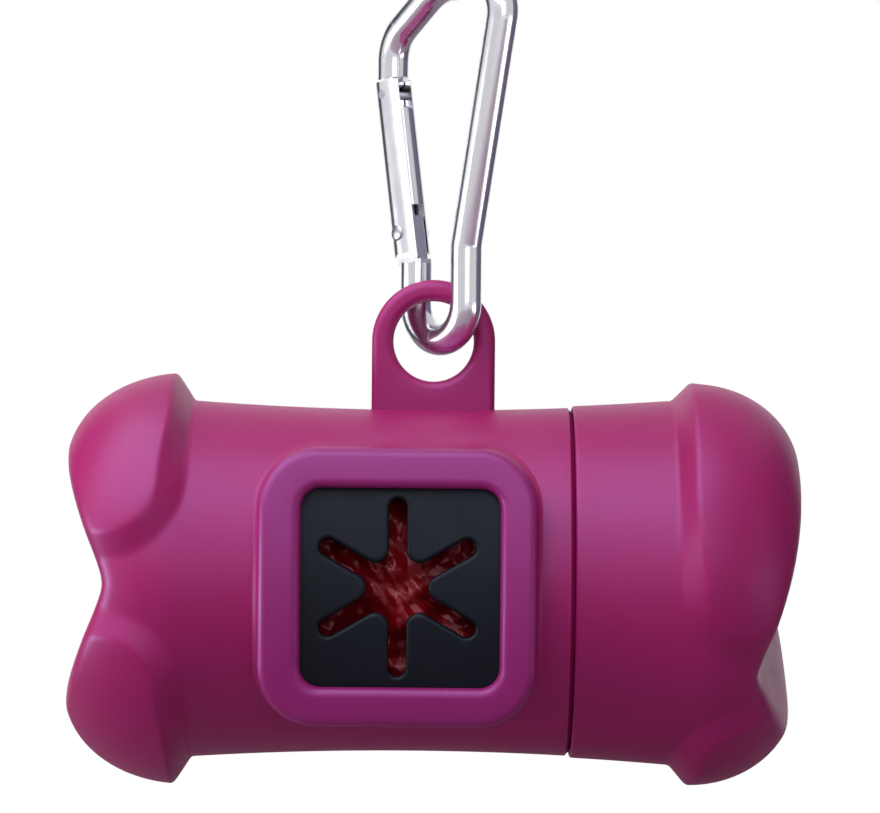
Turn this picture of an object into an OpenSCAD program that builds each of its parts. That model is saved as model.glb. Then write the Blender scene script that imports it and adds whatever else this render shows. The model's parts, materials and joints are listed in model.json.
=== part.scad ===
// Bone-shaped dispenser for a roll of dog waste bags, hung from a spring-gate carabiner.
// Millimetres. X runs along the bone, the outlet faces -Y and Z is up.
// The origin is the inside of the carabiner's top, where the whole thing hangs.

/* [Barrel] */
// Overall length of the bone, end to end
bone_len = 86; // [82:0.2:92]
// Diameter of the barrel at its waist
waist_d = 40.3; // [39:0.1:43]
// How much the barrel's radius grows from its waist to the left bone end
neck_rise = 0.9; // [0.4:0.1:1.6]
// Place of the waist along X
waist_x = -1.6; // [-4:0.2:0]
// Wall between the waist and the bore that the roll lies in
wall_t = 2.75; // [2.5:0.05:3.2]
// Wall behind the bone ends
end_wall = 2; // [1.4:0.1:3]
// Place along X where the barrel stops and the cap begins
seam_x = 16.4; // [14.5:0.1:18]

/* [Bone ends] */
// Height of a lobe above the barrel's left end
lobe_rise = 3.25; // [2.5:0.05:5]
// How far a lobe's own round centre lies off the barrel's axis
lobe_shift = 2; // [1.6:0.1:3]
// Radius of the dome over a lobe
dome_r = 11.2; // [10:0.1:13]
// Length of the left lobes along X, down to the barrel
lobe_len = 15.2; // [13.8:0.1:16]
// Length of the cap's lobes along X, down to the barrel
cap_lobe_len = 14.4; // [13.8:0.1:16]
// Length of the slope from a lobe's top down to the barrel
shoulder_len = 2.1; // [1:0.1:2.4]
// Radius of a lobe's lower inner corner, seen from the front
lobe_corner_r = 9.8; // [8:0.1:10.5]
// Half the gap between the two lobes, seen from the front
lobe_gap = 2.8; // [2:0.1:4]
// Depth of the valley in the end face
valley_depth = 5.4; // [4:0.1:6]
// Height of the lobes' crests above the barrel's axis
crest_z = 13.7; // [12:0.1:15]

/* [Hanging eyelet] */
// Width of the eyelet
eyelet_w = 14.6; // [13.6:0.1:17]
// Thickness of the eyelet
eyelet_t = 2.5; // [2:0.1:2.8]
// Hole in the eyelet
eyelet_hole_d = 9.5; // [9.4:0.1:10.2]
// Bevel around the hole, on both sides
eyelet_bevel = 0.8; // [0.6:0.1:1]
// Height of the hole above the barrel's waist
eyelet_rise = 8.15; // [7.8:0.05:11]
// Place of the eyelet along X
eyelet_x = 0.4; // [-1:0.1:2]

/* [Outlet] */
// Place of the outlet along X
outlet_x = -3.4; // [-5:0.1:-2]
// Outer width and height of the outlet's frame
frame_w = 31.6; // [31.4:0.1:33]
// Outer corner radius of the frame
frame_corner_r = 6.8; // [5:0.1:8]
// Opening in the frame
opening_w = 22.6; // [21.6:0.1:23]
// Corner radius of the opening
opening_corner_r = 2.3; // [1.5:0.1:3]
// How far the frame's face stands out from the barrel's waist
face_proud = 3.85; // [3.6:0.05:5.5]
// Thickness of the frame's face plate
plate_t = 2; // [1.4:0.1:2.4]
// Wall of the boss that the frame snaps into
boss_wall = 1.6; // [1.2:0.1:1.7]
// Wall of the skirt behind the face plate
skirt_wall = 1.2; // [1:0.1:1.3]
// Length of each snap bead on the skirt
snap_len = 9; // [6:0.5:12]
// How far a snap bead stands out
snap_proud = 0.35; // [0.2:0.05:0.5]
// Height of a snap bead along Y
snap_h = 0.7; // [0.5:0.05:0.9]

/* [Star pad] */
// Thickness of the rubber pad
pad_t = 1.9; // [1.5:0.1:2.2]
// Hole in the middle of the star
star_hole_d = 7; // [6:0.1:8]
// Number of slits
star_slits = 6; // [5:1:8]
// Width of a slit
slit_w = 2; // [1.4:0.1:2.4]
// Distance from the middle to the end of a slit
slit_reach = 10.1; // [8.5:0.1:10.4]

/* [Screw cap] */
// Play between the barrel's end face and the cap's rim, as the cap stands
seam_gap = 0.4; // [0.4:0.05:0.6]
// How much wider the cap is than the barrel
cap_step = 0.2; // [0:0.05:0.6]
// Angle by which the cap stands short of lining up with the other bone end
cap_clock = 32; // [0:1:35]
// Thread pitch
pitch = 4; // [3.6:0.1:4]
// Wall of the threaded spigot
spigot_wall = 1.2; // [1:0.05:1.4]
// Length of the threaded spigot
spigot_len = 8.5; // [8:0.1:10]
// Height of a thread ridge
ridge_h = 0.7; // [0.5:0.05:0.8]
// Width of a thread ridge at its foot
ridge_foot = 1.9; // [1.5:0.1:2.1]
// Width of a thread ridge at its crest
ridge_crest = 1.2; // [0.8:0.1:1.4]
// Turns of thread on the spigot
spigot_turns = 1.3; // [1:0.05:1.35]
// Turns of thread in the cap
cap_turns = 1.2; // [0.8:0.05:1.3]
// Radial play between crest and root
thread_play = 0.2; // [0.15:0.05:0.3]

/* [Bag roll] */
// How much narrower the full roll is than its bore
roll_play = 3.8; // [3.2:0.1:10]
// Length of the roll
roll_len = 60; // [54:0.5:62]
// Outer diameter of the cardboard core
core_d = 13.4; // [12:0.1:16]
// Wall of the core
core_wall = 1.2; // [0.8:0.1:1.6]
// Place of the roll's middle along X
roll_x = 0.4; // [-2:0.2:1]
// Width of the gathered bag end behind the star
tail_w = 21.4; // [16:0.2:21.4]

/* [Carabiner] */
// Diameter of the carabiner's rod
rod_d = 3.7; // [3.4:0.1:3.8]
// Angle between the carabiner's plane and the eyelet's plane
carabiner_yaw = 49; // [48:1:60]
// How far the carabiner's middle lies beside the eyelet's middle
carabiner_shift = 0.8; // [0.4:0.1:1.0]
// Half the width of the bottom bend, to the rod's middle
bend_half_w = 4.5; // [4.4:0.1:5]
// Height of the bottom bend's rod middle above the eyelet's hole
bend_lift = 0.2; // [0:0.05:0.5]
// Height of the kink, where the two legs start to spread, above the eyelet's hole
kink_rise = 11.3; // [10.5:0.1:12.7]
// Height of the top bar's rod middle above the eyelet's hole
top_rise = 42.1; // [40:0.1:46]
// Distance of the top right corner from the carabiner's middle
corner_u = 11.4; // [10.5:0.1:13]
// Distance of the nose from the carabiner's middle
nose_u = 9.1; // [8.8:0.1:10]
// Thickness of the flat tongues at the hinge and the nose
tongue_t = 1.6; // [1.4:0.05:1.7]

/* [Gate] */
// Diameter of the gate
gate_d = 4.3; // [4.1:0.1:4.6]
// Length of the gate above its rivet
gate_len = 18.6; // [18:0.1:19]
// Distance from the rivet down to the gate's lower end
gate_heel = 2.6; // [2.2:0.1:2.8]
// Distance of the rivet from the carabiner's middle
rivet_u = 5.7; // [5.6:0.1:6]
// Height of the rivet above the kink
rivet_rise = 1.6; // [1.4:0.1:2]
// Diameter of the rivet
rivet_d = 1.5; // [1.2:0.1:1.6]
// Diameter of the latch pin
latch_pin_d = 1.1; // [0.9:0.1:1.2]
// Diameter of the spring's plunger
plunger_d = 1.7; // [1.5:0.05:1.7]
// Length of the plunger
plunger_len = 3.2; // [2.8:0.1:3.6]
// Length of the spring
spring_len = 6; // [5:0.1:7]
// Wire of the spring
spring_wire = 0.28; // [0.2:0.02:0.3]
// Turns of the spring
spring_turns = 9; // [7:1:10]

/* [Hidden] */
$fn = 48;

loose_fit = 0.3;      // between parts that never touch on purpose
slip_fit = 0.1;       // between parts that drop into each other
running_fit = 0.05;   // radial, between a pin and what turns on it
tight_fit = 0.2;      // between a skirt and its pocket
sink = 0.15;          // how deep a ridge's foot is buried in its wall
hair = 0.02;          // step that keeps two surfaces from lying on each other
beyond = 1;           // how far a cutting shape runs past what it cuts
reach = bone_len;     // larger than anything it has to cover
thread_fade = 25;     // degrees over which a ridge rises to its full height
thread_step = 10;     // degrees between two sections of a ridge
spring_step = 40;     // degrees between two sections of the spring

waist_r = waist_d / 2;
bore_r = waist_r - wall_t;
left_neck_x = -bone_len / 2 + lobe_len;
cap_neck_x = bone_len / 2 - cap_lobe_len;
left_neck_r = waist_r + neck_rise;
cap_neck_r = barrel_r(cap_neck_x) + cap_step;
lobe_r = left_neck_r + lobe_rise - lobe_shift;
frame_face = waist_r + face_proud;
ledge_y = frame_face - plate_t - slip_fit - pad_t;
pocket_w = frame_w - 2 * boss_wall;
skirt_w = pocket_w - 2 * tight_fit;
pad_w = skirt_w - 2 * skirt_wall - 2 * slip_fit;
snap_y = ledge_y + tight_fit + snap_h;

spigot_r = bore_r + spigot_wall;
thread_root_r = spigot_r + ridge_h + thread_play;
rim_x = seam_x + seam_gap;
thread_end_x = seam_x + spigot_len + 1.5 * loose_fit;
roll_d = 2 * bore_r - roll_play;
roll_z = roll_d / 2 + loose_fit - bore_r;

eyelet_z = waist_r + eyelet_rise;
bend_z = eyelet_z + bend_lift;
kink_z = eyelet_z + kink_rise;
top_z = eyelet_z + top_rise;
rivet_z = kink_z + rivet_rise;
rivet = [-rivet_u, rivet_z];
gate_lean = atan2(rivet_u - nose_u, gate_len);
latch_pin_w = gate_len - 1.6;     // the latch pin's place along the gate
slot_t = tongue_t + 3 * slip_fit; // width of the gate's slots
heel_slot_top = 3.2;              // top of the slot over the hinge tongue
nose_slot_len = 3.6;              // length of the slot over the nose tongue
tongue_end = 1.9;                 // top of the hinge tongue above the rivet
tongue_foot = 3.6;                // bottom of the hinge tongue's upright part below the rivet
tongue_root = 4;                  // how deep the hinge tongue is rooted in the leg
nose_lip = 0.7;                   // depth of the hook under the latch pin
nose_relief = 0.4;                // slope over the latch pin
heel_sweep = norm([gate_d / 2, gate_heel]) + slip_fit;
plunger_rest = tongue_end + slip_fit;
spring_start = plunger_rest + plunger_len + slip_fit;
hang_u = 2;                       // how far beside the middle the carabiner hangs
hang_point = [
    eyelet_x + carabiner_shift + hang_u * cos(carabiner_yaw),
    -hang_u * sin(carabiner_yaw),
    top_z - rod_d / 2
];

nose_drop = 5.9;                  // from the top bar down to the corner over the nose
crown_u = -1;                     // where the top bar begins to slope down to the nose
leg_stop = 2;                     // how far the rear leg ends below the kink
leg_end = [-bend_half_w, kink_z - leg_stop];

// Corners of the rod's middle line in the carabiner's own plane, and the bend radius at each
rod_path = [
    [-nose_u, rivet_z + gate_len - leg_stop], [-nose_u, top_z - nose_drop], [crown_u, top_z],
    [corner_u, top_z], [bend_half_w, kink_z], [bend_half_w, bend_z], [-bend_half_w, bend_z], leg_end
];
rod_bend = [0, 5, 8, 3.6, 3, bend_half_w - slip_fit, bend_half_w - slip_fit, 0];

// Radius of the barrel's outside at a place along X: a shallow curve, narrowest at the waist
function barrel_r(x) =
    waist_r + neck_rise * pow((x - waist_x) / (left_neck_x - waist_x), 2);

function unit(v) = v / norm(v);

// ---------- shared shapes ----------

// Turns a shape drawn about Z so that it stands about X
module about_x() {
    rotate([0, 90, 0]) children();
}

// Extrudes an outline drawn in X and Z, centred on Y
module along_y(depth) {
    rotate([90, 0, 0]) linear_extrude(depth, center = true) children();
}

// Extrudes an outline drawn in X and Z, from one distance in front of the axis to another
module forward(from, to) {
    translate([0, -from, 0]) rotate([90, 0, 0]) linear_extrude(to - from) children();
}

module rounded_square(w, r) {
    square([w - 2 * r, w], center = true);
    square([w, w - 2 * r], center = true);
    for (x = [-1, 1], y = [-1, 1]) {
        translate([x * (w / 2 - r), y * (w / 2 - r)]) circle(r);
    }
}

// Solid of revolution between two places on X, with the barrel's curve plus an allowance
module barrel_solid(from, to, extra) {
    steps = 12;
    rise = [for (i = [0:steps]) from + (to - from) * i / steps];
    about_x() rotate_extrude($fn = 96)
        polygon(concat([[0, from]], [for (x = rise) [barrel_r(x) + extra, x]], [[0, to]]));
}

// Section swept along a helix about Z. A section is a list of [axial, radial] points, and
// over the first and last fade degrees its radial part shrinks towards foot_r.
module helix_sweep(section, foot_r, rise, turns, fade, step) {
    least = 0.15;
    n = round(turns * 360 / step);
    k = len(section);
    points = [
        for (i = [0:n]) let (
            a = turns * 360 * i / n,
            f = fade == 0 ? 1 : max(least, min(1, a / fade, (turns * 360 - a) / fade))
        ) for (p = section) let (r = foot_r + (p[1] - foot_r) * f)
            [r * cos(a), r * sin(a), p[0] + rise * a / 360]
    ];
    sides = [
        for (i = [0:n - 1], j = [0:k - 1]) let (m = (j + 1) % k)
            each [[i * k + m, i * k + j, (i + 1) * k + j], [(i + 1) * k + m, i * k + m, (i + 1) * k + j]]
    ];
    caps = [[for (j = [0:k - 1]) j], [for (j = [k - 1:-1:0]) n * k + j]];
    polyhedron(points, concat(sides, caps));
}

// ---------- bone end, drawn with its end face at X = 0 and the barrel towards +X ----------

// Everything inward of the valley in the end face
module inward_of_valley(inset) {
    along_y(reach) polygon([
        [valley_depth + inset, 0], [inset, crest_z], [inset, reach], [reach, reach],
        [reach, -reach], [inset, -reach], [inset, -crest_z]
    ]);
}

// Round bar with a domed end
module domed_bar(r, dome, length) {
    about_x() rotate_extrude($fn = 96) {
        translate([0, dome]) square([r, length - dome]);
        square([r - dome, length]);
        intersection() {
            translate([r - dome, dome]) circle(dome);
            square([r, dome]);
        }
    }
}

module lobe(length, neck_r) {
    intersection() {
        translate([0, 0, lobe_shift]) union() {
            domed_bar(lobe_r, dome_r, length - shoulder_len);
            translate([length - shoulder_len, 0, 0]) about_x()
                cylinder(h = shoulder_len, r1 = lobe_r, r2 = neck_r - lobe_shift, $fn = 96);
        }
        along_y(reach) union() {
            translate([0, lobe_gap + lobe_corner_r]) square([length, reach]);
            translate([0, lobe_gap]) square([length - lobe_corner_r, reach]);
            translate([length - lobe_corner_r, lobe_gap + lobe_corner_r]) circle(lobe_corner_r);
        }
    }
}

module bone_end(length, neck_r) {
    intersection() {
        inward_of_valley(0);
        union() {
            domed_bar(neck_r, dome_r, length + sink);
            lobe(length, neck_r);
            mirror([0, 0, 1]) lobe(length, neck_r);
        }
    }
}

// Hollow that reaches from the bore into a bone end
module end_hollow(length) {
    intersection() {
        inward_of_valley(end_wall);
        translate([end_wall, 0, 0]) domed_bar(bore_r, dome_r - end_wall, length);
    }
}

// ---------- dispenser ----------

module outlet_place() {
    translate([outlet_x, 0, 0]) children();
}

module snap_beads(grow) {
    w = skirt_w / 2;
    for (turn = [0:90:270]) rotate([0, turn, 0])
        translate([w - beyond, -snap_y - grow, -snap_len / 2 - grow])
            cube([beyond + snap_proud + grow, snap_h + 2 * grow, snap_len + 2 * grow]);
}

module eyelet_hole() {
    half = eyelet_t / 2 + beyond;
    for (side = [-90, 90]) rotate([side, 0, 0]) {
        cylinder(h = half, d = eyelet_hole_d);
        translate([0, 0, eyelet_t / 2 - eyelet_bevel])
            cylinder(h = eyelet_bevel + beyond, d1 = eyelet_hole_d,
                d2 = eyelet_hole_d + 2 * (eyelet_bevel + beyond));
    }
}

module body_shell() {
    color("mediumvioletred") difference() {
        union() {
            barrel_solid(left_neck_x, seam_x, 0);
            translate([-bone_len / 2, 0, 0]) bone_end(lobe_len, left_neck_r);
            outlet_place() forward(0, frame_face - plate_t) rounded_square(frame_w, frame_corner_r);
            translate([eyelet_x, 0, 0]) along_y(eyelet_t) union() {
                translate([0, eyelet_z]) circle(d = eyelet_w);
                translate([-eyelet_w / 2, 0]) square([eyelet_w, eyelet_z]);
            }
            translate([seam_x - sink, 0, 0]) about_x()
                cylinder(h = spigot_len + sink, r = spigot_r, $fn = 96);
            translate([seam_x + ridge_foot, 0, 0]) about_x()
                helix_sweep(ridge(spigot_r - sink, spigot_r + ridge_h), spigot_r - sink, pitch,
                    spigot_turns, thread_fade, thread_step);
        }
        translate([-bone_len / 2, 0, 0]) end_hollow(bone_len / 2);
        translate([-beyond, 0, 0]) about_x() cylinder(h = reach, r = bore_r, $fn = 96);
        translate([eyelet_x, 0, eyelet_z]) eyelet_hole();
        outlet_place() forward(0, frame_face) rounded_square(opening_w, opening_corner_r);
        outlet_place() forward(ledge_y, frame_face)
            rounded_square(pocket_w, frame_corner_r - boss_wall);
        outlet_place() snap_beads(tight_fit / 2);
    }
}

// Section of a thread ridge from its buried foot to its crest
function ridge(foot_r, crest_r) = [
    [-ridge_foot / 2, foot_r], [ridge_foot / 2, foot_r], [ridge_crest / 2, crest_r], [-ridge_crest / 2, crest_r]
];

module end_cap() {
    rim_chamfer = 0.4;
    color("mediumvioletred") difference() {
        union() {
            barrel_solid(rim_x, cap_neck_x + sink, cap_step);
            rotate([cap_clock, 0, 0]) mirror([1, 0, 0]) translate([-bone_len / 2, 0, 0])
                bone_end(cap_lobe_len, cap_neck_r);
        }
        difference() {
            translate([rim_x - beyond, 0, 0]) about_x()
                cylinder(h = thread_end_x - rim_x + beyond, r = thread_root_r, $fn = 96);
            translate([seam_x + ridge_foot + pitch / 2, 0, 0]) about_x()
                helix_sweep(inner_ridge(), thread_root_r + sink, pitch, cap_turns, thread_fade,
                    thread_step);
        }
        rotate([cap_clock, 0, 0]) mirror([1, 0, 0]) translate([-bone_len / 2, 0, 0])
            end_hollow(bone_len / 2 - rim_x);
        translate([rim_x - beyond, 0, 0]) about_x() difference() {
            cylinder(h = beyond + rim_chamfer, r = reach);
            cylinder(h = beyond + rim_chamfer, r1 = barrel_r(rim_x) + cap_step - rim_chamfer - beyond,
                r2 = barrel_r(rim_x) + cap_step, $fn = 96);
        }
    }
}

function inner_ridge() = [
    [-ridge_crest / 2, thread_root_r - ridge_h], [ridge_crest / 2, thread_root_r - ridge_h],
    [ridge_foot / 2, thread_root_r + sink], [-ridge_foot / 2, thread_root_r + sink]
];

module outlet_frame() {
    color("mediumorchid") outlet_place() difference() {
        union() {
            forward(frame_face - plate_t, frame_face) rounded_square(frame_w, frame_corner_r);
            forward(ledge_y + tight_fit, frame_face - plate_t)
                rounded_square(skirt_w, frame_corner_r - boss_wall - tight_fit);
            snap_beads(0);
        }
        forward(0, frame_face + beyond) rounded_square(opening_w, opening_corner_r);
        forward(0, frame_face - plate_t)
            rounded_square(pad_w + 2 * slip_fit, frame_corner_r - boss_wall - tight_fit - skirt_wall);
    }
}

module star_pad() {
    color("darkslategray") outlet_place() forward(ledge_y, ledge_y + pad_t) difference() {
        rounded_square(pad_w, frame_corner_r - boss_wall - tight_fit - skirt_wall);
        circle(d = star_hole_d);
        for (i = [0:star_slits - 1]) rotate(90 + i * 360 / star_slits) {
            translate([0, -slit_w / 2]) square([slit_reach - slit_w / 2, slit_w]);
            translate([slit_reach - slit_w / 2, 0]) circle(d = slit_w);
        }
    }
}

// ---------- roll of bags ----------

module roll_place() {
    translate([roll_x, 0, roll_z]) children();
}

module roll_core() {
    color("burlywood") roll_place() about_x() difference() {
        cylinder(h = roll_len, d = core_d, center = true);
        cylinder(h = roll_len + beyond, d = core_d - 2 * core_wall, center = true);
    }
}

module bag_roll() {
    color("firebrick") roll_place() about_x() difference() {
        cylinder(h = roll_len, d = roll_d, center = true, $fn = 96);
        cylinder(h = roll_len + beyond, d = core_d + 2 * running_fit, center = true);
    }
}

// Gathered end of the first bag, between the roll and the back of the star
module bag_tail() {
    color("firebrick") outlet_place()
        forward(roll_d / 2 + loose_fit, ledge_y - loose_fit) rounded_square(tail_w, opening_corner_r);
}

// ---------- carabiner, drawn in its own plane: X across, Z up ----------

module carabiner_place() {
    translate([eyelet_x + carabiner_shift, 0, 0]) rotate([0, 0, -carabiner_yaw]) children();
}

// Straight length of rod. Each end runs a little way into its bend, and is a hair thinner.
module straight_rod(a, b) {
    translate([a[0], 0, a[1]]) rotate([0, atan2(b[0] - a[0], b[1] - a[1]), 0])
        translate([0, 0, -slip_fit]) cylinder(h = norm(b - a) + 2 * slip_fit, d = rod_d - hair);
}

// Length that a bend of radius r takes from each of the two straights that meet at b
function bend_take(a, b, c, r) =
    r * tan(acos(max(-1, min(1, unit(b - a) * unit(c - b)))) / 2);

module rod_corner(a, b, c, r) {
    take = bend_take(a, b, c, r);
    start = b + unit(a - b) * take;
    end = b + unit(c - b) * take;
    middle = b + unit(unit(a - b) + unit(c - b)) * norm([r, take]);
    from = atan2(start[1] - middle[1], start[0] - middle[0]);
    to = atan2(end[1] - middle[1], end[0] - middle[0]);
    swing = (to - from + 540) % 360 - 180;
    translate([middle[0], 0, middle[1]]) rotate([90, 0, 0])
        rotate([0, 0, min(from, from + swing)])
            rotate_extrude(angle = abs(swing)) translate([r, 0]) circle(d = rod_d);
}

module bent_rod() {
    last = len(rod_path) - 1;
    taken = [
        for (i = [0:last]) i == 0 || i == last ? 0
            : bend_take(rod_path[i - 1], rod_path[i], rod_path[i + 1], rod_bend[i])
    ];
    for (i = [0:last - 1]) {
        way = unit(rod_path[i + 1] - rod_path[i]);
        straight_rod(rod_path[i] + way * taken[i], rod_path[i + 1] - way * taken[i + 1]);
    }
    for (i = [1:last - 1]) {
        rod_corner(rod_path[i - 1], rod_path[i], rod_path[i + 1], rod_bend[i]);
    }
}

// The gate's own frame: origin at the rivet, Z along the closed gate
module gate_place() {
    translate([rivet[0], 0, rivet[1]]) rotate([0, gate_lean, 0]) children();
}

module cross_bore(d, w, length) {
    translate([0, 0, w]) rotate([90, 0, 0]) cylinder(h = length, d = d, center = true);
}

module hinge_tongue() {
    tongue_w = rod_d - 2 * slip_fit;
    difference() {
        union() {
            translate([leg_end[0] - tongue_w / 2, -tongue_t / 2, leg_end[1] - tongue_root])
                cube([tongue_w, tongue_t, tongue_root + 2 * loose_fit]);
            gate_place() {
                translate([-tongue_w / 2, -tongue_t / 2, 0]) cube([tongue_w, tongue_t, tongue_end]);
                rotate([90, 0, 0]) cylinder(h = tongue_t, d = tongue_w, center = true);
                translate([-tongue_w / 2, -tongue_t / 2, -tongue_foot])
                    cube([tongue_w, tongue_t, tongue_foot]);
            }
        }
        gate_place() cross_bore(rivet_d, 0, reach);
    }
}

module nose_tongue() {
    outer = rod_d / 2 - slip_fit;
    pin_r = latch_pin_d / 2;
    hook_top = latch_pin_w - pin_r - slip_fit;
    notch = -pin_r - slip_fit;
    gate_place() along_y(tongue_t) polygon([
        [-outer, hook_top - nose_lip], [pin_r, hook_top - nose_lip], [pin_r, hook_top],
        [notch, hook_top], [notch, latch_pin_w + pin_r],
        [outer / 2, latch_pin_w + pin_r + 2 * slip_fit + nose_relief],
        [outer / 2, gate_len + beyond], [-outer, gate_len + beyond]
    ]);
}

module carabiner_frame() {
    color("lightgray") carabiner_place() {
        difference() {
            bent_rod();
            gate_place() {
                rotate([90, 0, 0]) cylinder(h = reach, r = heel_sweep, center = true);
                translate([-gate_d, -gate_d, gate_len - tongue_root])
                    cube([2 * gate_d, 2 * gate_d, tongue_root + loose_fit]);
            }
        }
        hinge_tongue();
        nose_tongue();
    }
}

module gate() {
    color("gainsboro") carabiner_place() gate_place() difference() {
        translate([0, 0, -gate_heel]) cylinder(h = gate_len + gate_heel, d = gate_d);
        translate([-gate_d, -slot_t / 2, -gate_heel - beyond])
            cube([2 * gate_d, slot_t, gate_heel + beyond + heel_slot_top]);
        translate([-gate_d, -slot_t / 2, gate_len - nose_slot_len])
            cube([2 * gate_d, slot_t, nose_slot_len + beyond]);
        cylinder(h = spring_start + spring_len + slip_fit, d = plunger_d + 2 * running_fit);
        cross_bore(rivet_d + 2 * running_fit, 0, reach);
        cross_bore(latch_pin_d, latch_pin_w, reach);
    }
}

module hinge_rivet() {
    head_t = 0.4;
    head_d = rivet_d + 0.9;
    color("silver") carabiner_place() gate_place() {
        cross_bore(rivet_d, 0, gate_d + 2 * slip_fit + head_t);
        for (side = [-1, 1]) {
            translate([0, side * (gate_d / 2 + slip_fit + head_t / 2), 0]) rotate([90, 0, 0])
                cylinder(h = head_t, d = head_d, center = true);
        }
    }
}

module latch_pin() {
    color("silver") carabiner_place() gate_place() cross_bore(latch_pin_d, latch_pin_w, gate_d - slip_fit);
}

module gate_plunger() {
    color("dimgray") carabiner_place() gate_place()
        translate([0, 0, plunger_rest]) cylinder(h = plunger_len, d = plunger_d);
}

module gate_spring() {
    coil_r = plunger_d / 2 - spring_wire / 2 - running_fit;
    wire_section = [for (a = [0:72:288]) [spring_wire / 2 * cos(a), coil_r + spring_wire / 2 * sin(a)]];
    color("dimgray") carabiner_place() gate_place()
        translate([0, 0, spring_start + spring_wire / 2])
            helix_sweep(wire_section, coil_r, (spring_len - spring_wire) / spring_turns, spring_turns, 0,
                spring_step);
}

// Moves the assembly so that the hang point is the origin
module hung() {
    translate(-hang_point) children();
}

hung() body_shell();
hung() end_cap();
hung() outlet_frame();
hung() star_pad();
hung() roll_core();
hung() bag_roll();
hung() bag_tail();
hung() carabiner_frame();
hung() gate();
hung() hinge_rivet();
hung() latch_pin();
hung() gate_plunger();
hung() gate_spring();
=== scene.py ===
"""Looks of a bone-shaped dispenser for dog waste bags that hangs from a spring-gate carabiner.

Lengths are millimetres from the middle of the bone, on the barrel's axis: X runs along the bone,
the outlet faces -Y and Z is up. add_piece() turns them into metres.
"""

import json
import math

import bmesh
import bpy
import numpy as np
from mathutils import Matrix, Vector


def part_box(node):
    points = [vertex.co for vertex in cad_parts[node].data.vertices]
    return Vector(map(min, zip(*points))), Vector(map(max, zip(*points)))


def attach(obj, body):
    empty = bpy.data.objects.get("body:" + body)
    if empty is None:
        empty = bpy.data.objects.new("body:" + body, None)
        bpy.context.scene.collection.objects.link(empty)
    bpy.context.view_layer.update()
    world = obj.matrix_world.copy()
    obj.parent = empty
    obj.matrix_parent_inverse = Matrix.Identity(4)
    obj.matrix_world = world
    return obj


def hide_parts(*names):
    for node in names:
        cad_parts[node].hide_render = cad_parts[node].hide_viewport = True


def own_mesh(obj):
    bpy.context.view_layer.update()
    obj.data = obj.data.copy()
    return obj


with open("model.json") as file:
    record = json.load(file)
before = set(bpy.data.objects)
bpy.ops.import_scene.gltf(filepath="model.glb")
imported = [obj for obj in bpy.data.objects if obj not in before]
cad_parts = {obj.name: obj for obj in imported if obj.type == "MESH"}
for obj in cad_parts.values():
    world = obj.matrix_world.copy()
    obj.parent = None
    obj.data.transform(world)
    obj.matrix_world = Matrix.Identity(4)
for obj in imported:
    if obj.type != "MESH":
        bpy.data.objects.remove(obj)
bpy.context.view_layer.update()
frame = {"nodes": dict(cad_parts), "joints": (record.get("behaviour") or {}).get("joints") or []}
joints = {joint["name"]: joint for joint in frame["joints"]}

MM = 0.001
swing_at = joints["dispenser_swing"]["pos_m"]
turn_at = joints["cap_turn"]["pos_m"]
bone_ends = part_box("body_shell")[0][0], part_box("end_cap")[1][0]
MIDDLE = np.array([sum(bone_ends) / 2, turn_at[1], turn_at[2]])
EYELET_X = (swing_at[0] - MIDDLE[0]) / MM
EYELET_Z = (swing_at[2] - MIDDLE[2]) / MM


def node_box(node):
    """Lowest and highest corner of a node, in millimetres from the bone's middle."""
    low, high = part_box(node)
    return (np.array(low) - MIDDLE) / MM, (np.array(high) - MIDDLE) / MM


shell_high = node_box("body_shell")[1]
cap_low, cap_high = node_box("end_cap")
frame_low, frame_high = node_box("outlet_frame")
pad_low, pad_high = node_box("star_pad")
tail_low, tail_high = node_box("bag_tail")
roll_low, roll_high = node_box("bag_roll")
core_high = node_box("roll_core")[1]

# ---------- sizes, in millimetres ----------

HALF_BONE = cap_high[0]
RIM_X = cap_low[0]
SEAM_X = RIM_X - 0.4
SPIGOT_END = shell_high[0]

# The bone ends' faces, and the barrel between them with the roll's chamber inside it.
LEFT_END = HALF_BONE - 0.35
RIGHT_END = HALF_BONE + 0.45
LOBE_LEN = 14.85
WAIST_X = -1.6
WAIST_R = 20.15
NECK_RISE = 0.9
LEFT_NECK_X = LOBE_LEN - LEFT_END
CAP_NECK_X = RIGHT_END - LOBE_LEN
NECK_EASE = 6.0
CAP_STEP = 0.2
BORE_R = 17.4
SPIGOT_R = 18.6
SPIGOT_LIP = 0.3
END_WALL = 7.2
HOLLOW_DEPTH = 9.0

# The seam: the body's conical seat, the cap's matching cone and the edges on either side of them.
SEAT_R = 20.4
SEAT_DROP = 0.35
SEAT_START, SEAT_END = 0.02, 0.4
SEAT_GAP = 0.05
CAP_SEAT_LIFT = 0.03
BODY_SHOULDER = 0.75
CAP_SHOULDER = 0.8
BODY_EDGE = 0.15
BODY_EDGE_FROM = 0.2
RIM_EDGE = 0.3
RIM_EDGE_TO = 1.35
RIM_LEN = 0.5

# The thread, right-handed: ridges of this pitch on the spigot and, half a pitch on, in the cap.
PITCH = 4.0
RIDGE_H = 0.7
RIDGE_HALF = 0.95
RIDGE_FLANK = 0.35
RIDGE_CORNER = 0.3
THREAD_FADE = 0.06
THREAD_START = 1.9
SPIGOT_TURNS = 1.3
CAP_TURNS = 1.2
THREAD_GAP = 0.2
CAP_STOP_GAP = 0.6
SPIGOT_RUN_IN, CAP_RUN_OUT = 0.01, 0.05

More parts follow.
